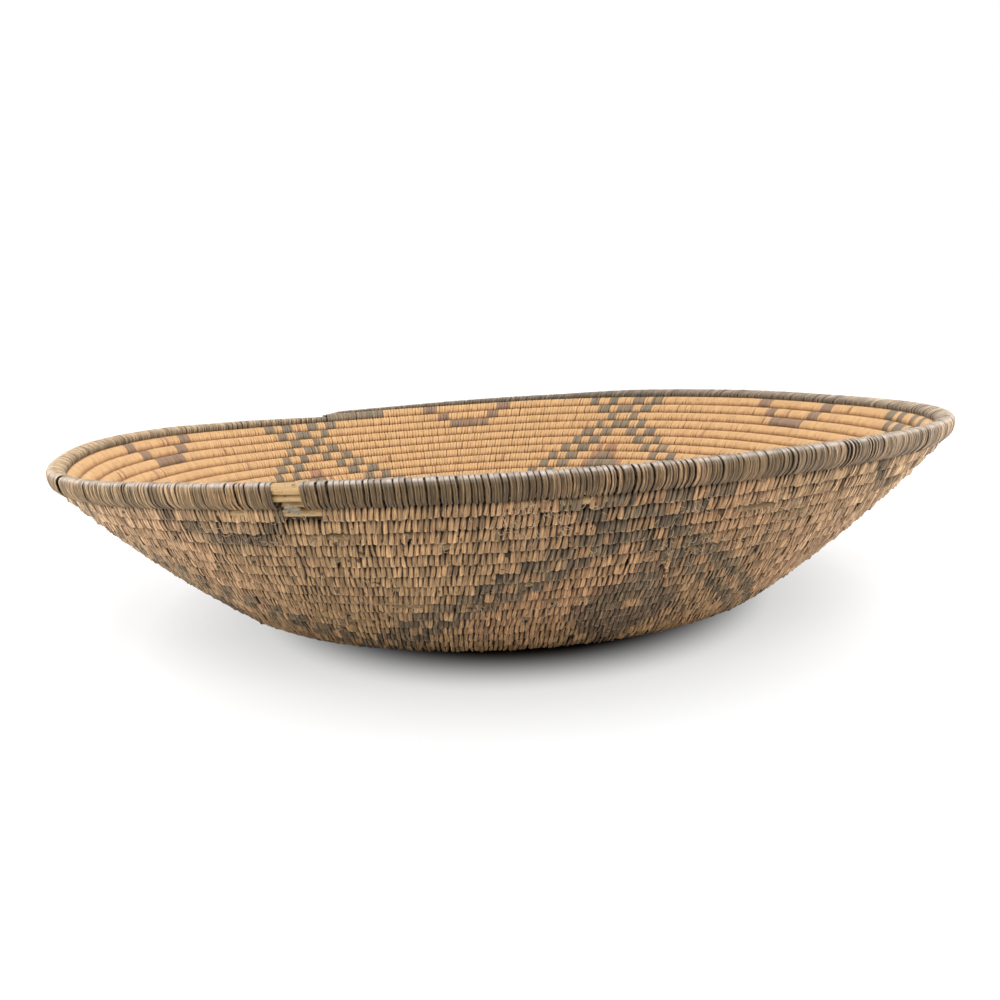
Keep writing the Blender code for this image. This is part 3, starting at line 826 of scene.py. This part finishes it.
def make_fibres(material):
    """Loose fibres: round the worn places, in the frayed hollow, and a few all over outside."""
    random = np.random.default_rng(6000)
    starts = []
    for turn, azimuth, lost, _ in WORN_PLACES:
        spread = lost * STITCH_PITCH / 2.0 + FIBRES_BESIDE
        starts += [(turn, math.radians(azimuth), spread, WORN_CURL)] * (FIBRES_PER_PLACE + lost)
    for fibres, first_turn, last_turn, start, end in FRAYED_PLACES:
        for _ in range(fibres):
            azimuth = math.radians(random.uniform(start, end))
            starts.append((random.integers(first_turn, last_turn), azimuth, 0.0, FRAYED_CURL))
    for _ in range(SCATTERED_FIBRES):
        turn = int(TURNS - random.integers(0, SCATTERED_ROWS))
        starts.append((turn, random.uniform(0.0, FULL_TURN), 0.0, SCATTERED_CURL))
    turns, azimuth, spread, curl = (np.array(column) for column in zip(*starts))
    count, rings = len(starts), FIBRE_RINGS
    middle = FIRST_SEAM + PITCH * (turns - 1.5 + turn_share(azimuth))
    azimuth = azimuth + random.uniform(-1.0, 1.0, count) * spread / RIM_RADIUS
    length = random.uniform(*FIBRE_LENGTH, count) * MM * (FIBRE_STRAIGHT + FIBRE_LONGER * curl)
    heading = random.normal(*FIBRE_HEADING, count)
    bend = random.normal(0.0, FIBRE_BEND, count) * (FIBRE_BEND_FROM + curl)
    part = np.linspace(0.0, 1.0, rings)
    angle = heading[:, None] + bend[:, None] * part
    step = (length / (rings - 1))[:, None]
    up = np.cumsum(np.sin(angle), 1) * step
    up = up + random.uniform(-FIBRE_UP, FIBRE_UP, count)[:, None] * MM
    aside = np.cumsum(np.cos(angle), 1) * step
    lift = FIBRE_LIFT[0] + FIBRE_LIFT[1] * random.random(count)[:, None]
    least, most, arching = FIBRE_ARCH
    arch = (least + most * curl * random.random(count))[:, None] * np.sin(arching * part)
    lift = lift + arch
    centres = to_space(middle[:, None] + up, azimuth[:, None] + aside / RIM_RADIUS, -lift * MM)
    size = random.uniform(*FIBRE_SIZE, count)[:, None] * MM * (1.0 - FIBRE_TAPER * part)
    piece = make_tubes("loose_fibres", centres, size, np.ones((count, rings)), material)


def make_flake(material):
    """The torn grey flake that hangs over the row below the worn gap."""
    random = np.random.default_rng(7000)
    row_middle = FIRST_SEAM + PITCH * (TURNS - 1.5 + turn_share(FLAKE_AZIMUTH))
    part = np.linspace(0.0, 1.0, FIBRE_RINGS)
    each = (FLAKE_FIBRES, 1)
    across = random.uniform(-1.0, 1.0, each)
    low, high = FLAKE_REACH
    up = low + (high - low) * random.uniform(0.0, 1.0, each) * (1.0 - FLAKE_ROUNDS * across ** 2)
    heading = random.normal(*FLAKE_HEADING, each)
    length = random.uniform(*FLAKE_LENGTH, each) * MM
    aside = FLAKE_HALF_WIDTH * across + length * (part - 0.5) * np.cos(heading)
    up = up + length * (part - 0.5) * np.sin(heading)
    arch = FLAKE_ARCH[0] * np.sin(FLAKE_ARCH[1] * part)
    lift = random.uniform(*FLAKE_LIFT, each) + arch
    centres = to_space(row_middle + up, FLAKE_AZIMUTH + aside / RIM_RADIUS, -lift * MM)
    size = random.uniform(*FLAKE_SIZE, each) * MM * (1.0 - FLAKE_TAPER * part)
    piece = make_tubes("bark_flake", centres, size, np.zeros(size.shape), material)


class Nodes:
    """Short ways to build a material's nodes."""

    def __init__(self, owner):
        self.tree = owner.node_tree
        self.shader = self.tree.nodes.get("Principled BSDF")

    @classmethod
    def of_new(cls, name):
        material = bpy.data.materials.new(name)
        material.use_nodes = True
        nodes = cls(material)
        nodes.material = material
        return nodes

    def add(self, kind, inputs=None, **settings):
        """Adds a node, gives it its settings and inputs, and returns its outputs."""
        node = self.tree.nodes.new("ShaderNode" + kind)
        for key, value in settings.items():
            setattr(node, key, value)
        self.put(node, inputs or {})
        return node.outputs

    def put(self, node, inputs):
        """Sets inputs to a number, a vector or a colour, or links them to another output."""
        for key, value in inputs.items():
            socket = node.inputs[key]
            if isinstance(value, (int, float)):
                socket.default_value = value
            elif isinstance(value, tuple):
                socket.default_value = (*value, 1.0)[:len(socket.default_value)]
            else:
                self.tree.links.new(value, socket)

    def attribute(self, name):
        return self.add("Attribute", attribute_name=name)

    def place(self):
        return self.add("TexCoord")["Object"]

    def xyz(self, vector):
        return self.add("SeparateXYZ", {0: vector})

    def channels(self, colour):
        return self.add("SeparateColor", {0: colour})

    def noise(self, vector, scale, detail, roughness):
        return self.add("TexNoise", {"Vector": vector, "Scale": scale, "Detail": detail,
                                     "Roughness": roughness})["Fac"]

    def grain(self, run, stretch, detail, roughness):
        """Noise that is drawn out along a splint, from its run."""
        stretched = self.add("VectorMath", {0: run, 1: stretch}, operation="MULTIPLY")["Vector"]
        return self.noise(stretched, 1.0, detail, roughness)

    def math(self, operation, first, second=0.0, clamp=False):
        inputs = {0: first, 1: second}
        return self.add("Math", inputs, operation=operation, use_clamp=clamp)["Value"]

    def times(self, first, second, clamp=False):
        return self.math("MULTIPLY", first, second, clamp)

    def fit(self, value, low, high, to_low=0.0, to_high=1.0, interpolation="LINEAR"):
        inputs = {"Value": value, "From Min": low, "From Max": high, "To Min": to_low,
                  "To Max": to_high}
        return self.add("MapRange", inputs, interpolation_type=interpolation)["Result"]

    def between(self, share, low, high):
        return self.fit(share, 0.0, 1.0, low, high)

    def mix(self, share, first, second, blend="MIX"):
        inputs = {0: share, 6: first, 7: second}
        return self.add("Mix", inputs, data_type="RGBA", blend_type=blend)[2]

    def grey(self, value):
        return self.add("CombineColor", dict.fromkeys((0, 1, 2), value))["Color"]

    def tinted(self, colour, factor):
        return self.mix(1.0, colour, factor, "MULTIPLY")

    def shaded(self, colour, value, ramp):
        """A colour made darker or lighter by where a value lies on a ramp."""
        return self.tinted(colour, self.grey(self.fit(value, *ramp)))

    def bump(self, height, strength, distance):
        inputs = {"Height": height, "Strength": strength, "Distance": distance}
        self.put(self.shader, {"Normal": self.add("Bump", inputs)["Normal"]})

    def grain_bump(self, fine, broad, share, strength, distance):
        self.bump(self.math("ADD", fine, self.times(broad, share)), strength, distance)

    def finish(self, colour, roughness, specular):
        """Gives the shader its colour and finish, and returns the material."""
        self.put(self.shader, {"Base Color": colour, "Roughness": roughness,
                               "Specular IOR Level": specular})
        return self.material

    def seen(self):
        """1 where the stage is seen, straight or in a reflection, and 0 where it gives light."""
        path = self.add("LightPath")
        seen = self.math("MAXIMUM", path["Is Camera Ray"], path["Is Glossy Ray"])
        return self.math("MAXIMUM", seen, path["Is Transmission Ray"])


def splint_nodes(name):
    """What both materials of splints start from: run, place, tint, and fine and broad grain."""
    nodes = Nodes.of_new(name)
    run = nodes.attribute("run")["Vector"]
    tint = nodes.attribute("tint")
    fine, broad = nodes.grain(run, *FINE_GRAIN), nodes.grain(run, *BROAD_GRAIN)
    return nodes, run, nodes.place(), tint, fine, broad


def splint_material():
    """Split plant stems: warm and clean inside, brown and weathered outside, with painted shade in
    joints and grooves and painted light towards the sides.
    """
    nodes, run, place, tint, fine, broad = splint_nodes("sewn_splints")
    fit, mix, times = nodes.fit, nodes.mix, nodes.times
    along_run = nodes.xyz(run)
    edge, along = nodes.math("ABSOLUTE", along_run["X"]), along_run["Y"]
    dark, red, outside = nodes.channels(tint["Color"])
    seed = tint["Alpha"]
    sideways = nodes.math("ABSOLUTE", nodes.xyz(place)["X"])
    # Painted light: the outside, its dark dye too, is paler towards the left and right, so the
    # weathered colour below also carries painted light
    pale = times(fit(sideways, *SIDE_LIGHT_REACH), fit(broad, *SIDE_LIGHT_STREAKS))
    ruddy = fit(nodes.noise(place, *RUDDY_NOISE), *RUDDY_PATCHES)
    weathered = mix(ruddy, LIGHT_OUTSIDE, RUDDY_OUTSIDE)
    weathered = mix(pale, weathered, SIDE_LIT_OUTSIDE)
    light = mix(outside, LIGHT_INSIDE, weathered)
    side_lit_black = mix(times(pale, BLACK_SIDE_LIT), DARK_OUTSIDE, SIDE_LIT_OUTSIDE)
    black = mix(outside, DARK_INSIDE, side_lit_black)
    brown = mix(outside, RED_INSIDE, RED_OUTSIDE)
    rubbed = times(outside, fit(broad, *DYE_RUBBED))
    dyed = nodes.math("SUBTRACT", dark, times(rubbed, dark), clamp=True)
    colour = mix(red, mix(dyed, light, black), brown)
    own = nodes.math("SUBTRACT", nodes.between(seed, *OWN_OUTSIDE), 1.0)
    own = nodes.math("ADD", times(outside, own), nodes.between(seed, *OWN_INSIDE))
    colour = nodes.tinted(colour, nodes.grey(own))
    grain = mix(outside, nodes.grey(fit(fine, *FINE_INSIDE)),
                nodes.grey(fit(fine, *FINE_OUTSIDE)))
    colour = nodes.tinted(colour, grain)
    streaks = nodes.shaded(colour, broad, STREAKS)
    colour = mix(nodes.between(outside, *STREAKS_BY_SIDE), colour, streaks)
    soiled = nodes.shaded(colour, nodes.noise(place, *SOIL_NOISE), SOILED)
    colour = mix(outside, colour, soiled)
    tip = times(fit(along, *TIP_FRAYS), fit(fine, *TIP_STREAKS))
    tip = times(times(tip, outside), TIP_PALE)
    colour = mix(tip, colour, FIBRE_COLOUR)
    # Dirt and painted shade under the lip of the row above
    colour = mix(times(fit(along, *TUCKED_DIRT_AND_SHADE), outside), colour, GRIME_AND_SHADE)
    # Painted shade inside, in the grooves between the coils
    groove_shade = nodes.math("ADD", fit(along, *LOW_GROOVE_SHADE), fit(along, *HIGH_GROOVE_SHADE))
    groove_shade = times(groove_shade, nodes.math("SUBTRACT", 1.0, outside), clamp=True)
    colour = mix(groove_shade, colour, nodes.tinted(colour, GROOVE_SHADE_INSIDE))
    # Grime and painted shade in the joints between splints
    seam = times(fit(edge, *SEAM_GRIME_AND_SHADE), nodes.between(outside, *SEAM_GRIME_AND_SHADE_BY_SIDE))
    colour = mix(seam, colour, mix(outside, GROOVE_SHADE_INSIDE, GRIME_AND_SHADE))
    specks = times(fit(nodes.noise(place, *SPECK_NOISE), *SPECKS),
                   nodes.between(outside, *SPECKS_BY_SIDE))
    colour = mix(specks, colour, GRIME_AND_SHADE)
    rougher = times(outside, ROUGHER_OUTSIDE)
    rough = nodes.math("ADD", fit(fine, *SPLINT_ROUGH), rougher)
    nodes.grain_bump(fine, broad, *SPLINT_BUMP)
    return nodes.finish(colour, rough, SHINE)


def rim_material():
    """Dark splints of the rim, rubbed to brown in patches, with painted highlights along the top
    and beside each wrap's edges, and painted light towards the ends.
    """
    nodes, run, place, tint, fine, broad = splint_nodes("rim_splints")
    fit, mix, times = nodes.fit, nodes.mix, nodes.times
    edge = nodes.math("ABSOLUTE", nodes.xyz(run)["X"])
    shade, crest_glint, outside = nodes.channels(tint["Color"])
    seed = tint["Alpha"]
    where = nodes.xyz(place)
    rubbed = fit(nodes.noise(place, *PATCH_NOISE), *RIM_RUBBED)
    rubbed = nodes.math("ADD", rubbed, nodes.between(seed, *RIM_RUBBED_OWN), clamp=True)
    rubbed = times(rubbed, fit(broad, *RIM_RUBBED_STREAKS))
    rubbed = times(rubbed, nodes.between(outside, *RIM_RUBBED_BY_SIDE))
    plain = mix(outside, RIM_INSIDE_COLOUR, RIM_COLOUR)
    # Painted light: the rim is paler towards its left and right ends, partly in streaks
    sideways = nodes.math("ABSOLUTE", nodes.math("SUBTRACT", where["X"], RIM_SIDE_LIGHT_MIDDLE))
    rim_side_light = nodes.math("ADD", fit(sideways, *RIM_SIDE_LIGHT), fit(sideways, *RIM_ENDS_LIGHT))
    plain = mix(times(rim_side_light, RIM_PLAIN_SIDE_LIT), plain, RIM_SIDE_LIT_COLOUR)
    colour = mix(rubbed, plain, RIM_WORN_COLOUR)
    faded = times(rim_side_light, fit(broad, *RIM_SIDE_LIT_STREAKS))
    colour = mix(faded, colour, RIM_SIDE_LIT_COLOUR)
    colour = mix(times(shade, RIM_SHADED), colour, RIM_SHADE_COLOUR)
    colour = nodes.shaded(colour, fine, RIM_FINE)
    colour = nodes.tinted(colour, nodes.grey(nodes.between(seed, *OWN_OUTSIDE)))
    warmth = fit(where["X"], *RIM_WARM_SIDE)
    colour = mix(warmth, colour, nodes.tinted(colour, RIM_WARM))
    colour = nodes.shaded(colour, nodes.grain(run, *STRIP_GRAIN), RIM_STRIPS)
    # Painted highlight in a thin band beside each wrap's edges
    ridge_highlight = times(fit(edge, *RIM_RIDGE_HIGHLIGHT[0]), fit(edge, *RIM_RIDGE_HIGHLIGHT[1]))
    ridge_highlight = times(ridge_highlight, fit(broad, *RIM_RIDGE_HIGHLIGHT_STREAKS))
    colour = mix(ridge_highlight, colour, RIM_RIDGE_HIGHLIGHT_COLOUR)
    # Painted highlight along the crest, stronger at the front
    glint = times(crest_glint, fit(where["Y"], *RIM_GLINT))
    colour = mix(glint, colour, RIM_CREST_GLINT_COLOUR)
    # Painted shade in the gaps between the wraps
    colour = mix(fit(edge, *RIM_SEAM_SHADE), colour, GRIME_AND_SHADE)
    nodes.grain_bump(fine, broad, *RIM_BUMP)
    return nodes.finish(colour, fit(fine, *RIM_ROUGH), RIM_SHINE)


def fibre_material():
    """Dry loose fibres, from straw to pale grey."""
    nodes = Nodes.of_new("loose_fibres")
    tint = nodes.attribute("tint")
    exposed = nodes.channels(tint["Color"])["Blue"]
    straw = nodes.times(exposed, nodes.between(tint["Alpha"], *STRAW_OWN))
    fine = nodes.grain(nodes.attribute("run")["Vector"], *FIBRE_GRAIN)
    colour = nodes.shaded(nodes.mix(straw, FLAKE_COLOUR, FIBRE_COLOUR), fine, FIBRE_FINE)
    return nodes.finish(colour, *FIBRE_FINISH)


def rod_material():
    """Peeled rods: pale where they are newly bare, in painted shade where they lie under splints.
    """
    nodes = Nodes.of_new("peeled_rods")
    exposed = nodes.channels(nodes.attribute("tint")["Color"])["Blue"]
    fine = nodes.grain(nodes.attribute("run")["Vector"], *ROD_GRAIN)
    # Painted shade where a rod lies under splints; pale where it is bare
    colour = nodes.shaded(nodes.mix(exposed, ROD_SHADE_AND_MARKS, ROD_CLEAN), fine, ROD_FINE)
    marks = nodes.fit(nodes.noise(nodes.place(), *MARK_NOISE), *ROD_MARKS)
    colour = nodes.mix(marks, colour, ROD_SHADE_AND_MARKS)
    nodes.bump(fine, *ROD_BUMP)
    return nodes.finish(colour, nodes.fit(fine, *ROD_ROUGH), SHINE)


def make_camera():
    """The photograph's own view."""
    data = bpy.data.cameras.new("camera")
    data.lens = CAMERA_LENS
    camera = bpy.data.objects.new("camera", data)
    bpy.context.scene.collection.objects.link(camera)
    camera.location = CAMERA_PLACE
    camera.rotation_mode = "QUATERNION"
    level_right = Vector((1.0, 0.0, 0.0))
    level_up = Vector((0.0, math.sin(CAMERA_PITCH), math.cos(CAMERA_PITCH)))
    right = math.cos(CAMERA_ROLL) * level_right + math.sin(CAMERA_ROLL) * level_up
    up = math.cos(CAMERA_ROLL) * level_up - math.sin(CAMERA_ROLL) * level_right
    back = right.cross(up)
    camera.rotation_quaternion = Matrix((right, up, back)).transposed().to_quaternion()
    bpy.context.scene.camera = camera


def make_floor():
    """A white floor that keeps the bowl's shadow, adds a painted shadow round its base, and shows
    white to the camera.
    """
    size, low = FLOOR_SIZE, FLOOR_HEIGHT
    corners = np.array([[-size, -size, low], [size, -size, low], [size, size, low],
                        [-size, size, low]])
    nodes = Nodes.of_new("white_floor")
    seen = nodes.seen()
    # Painted shadow: the floor's glow and colour darken towards the bowl's base
    inputs = {0: nodes.place(), 1: CONTACT_SHAPE, 2: CONTACT_SHIFT}
    shaped = nodes.add("VectorMath", inputs, operation="MULTIPLY_ADD")["Vector"]
    away = nodes.add("VectorMath", {0: shaped}, operation="LENGTH")["Value"]
    near = nodes.fit(away, CONTACT_EDGE, CONTACT_REACH, 0.0, 1.0, "SMOOTHSTEP")
    far = nodes.times(near, nodes.fit(away, CONTACT_EDGE, SHADOW_REACH, SHADOW_DEEPEST, 1.0))
    glow = nodes.times(seen, nodes.times(far, FLOOR_GLOW))
    nodes.put(nodes.shader, {"Emission Color": WHITE, "Emission Strength": glow})
    grey = nodes.mix(far, CONTACT_SHADOW_SEEN, FLOOR_SEEN)
    material = nodes.finish(nodes.mix(seen, FLOOR_BOUNCE, grey), 1.0, 0.0)
    floor = fill_mesh("floor", corners, np.array([[0, 1, 2, 3]]), material)


def make_lights():
    """An even pale surround and one broad soft lamp from above."""
    world = bpy.data.worlds.new("surround")
    bpy.context.scene.world = world
    world.use_nodes = True
    nodes = Nodes(world)
    direction = nodes.add("TexCoord")["Generated"]
    sideways = nodes.math("ABSOLUTE", nodes.xyz(direction)["X"])
    sideways = nodes.math("POWER", sideways, AMBIENT_POWER)
    level = nodes.between(sideways, AMBIENT, AMBIENT_SIDES)
    colour = nodes.mix(nodes.seen(), nodes.grey(level), WHITE)
    nodes.put(nodes.tree.nodes["Background"], {"Color": colour})
    for name, strength, angle, turn in LAMPS:
        data = bpy.data.lights.new(name, "SUN")
        data.energy = strength
        data.angle = math.radians(angle)
        lamp = bpy.data.objects.new(name, data)
        lamp.rotation_euler = [math.radians(value) for value in turn]
        bpy.context.scene.collection.objects.link(lamp)


def main():
    bpy.context.scene.view_settings.view_transform = "Standard"
    make_camera()
    make_floor()
    make_lights()
    splints, rods, rim = splint_material(), rod_material(), rim_material()
    make_start_knot(rim)
    for turn in range(1, TURNS + 1):
        make_turn_splints(turn, splints)
        make_turn_rods(turn, rods)
    gap_middle = (WORN_GAP_AZIMUTH - COIL_END_AZIMUTH) / FULL_TURN
    half_gap = WORN_GAP_LENGTH / 2.0 / (FULL_TURN * RIM_RADIUS)
    make_rim_wrap("rim_wrap_left", 0.0, gap_middle - half_gap, rim)
    make_rim_wrap("rim_wrap_right", gap_middle + half_gap, 1.0, rim)
    for rod in RIM_RODS:
        make_rim_rod(*rod, rods)
    fibres = fibre_material()
    make_fibres(fibres)
    make_flake(fibres)


main()
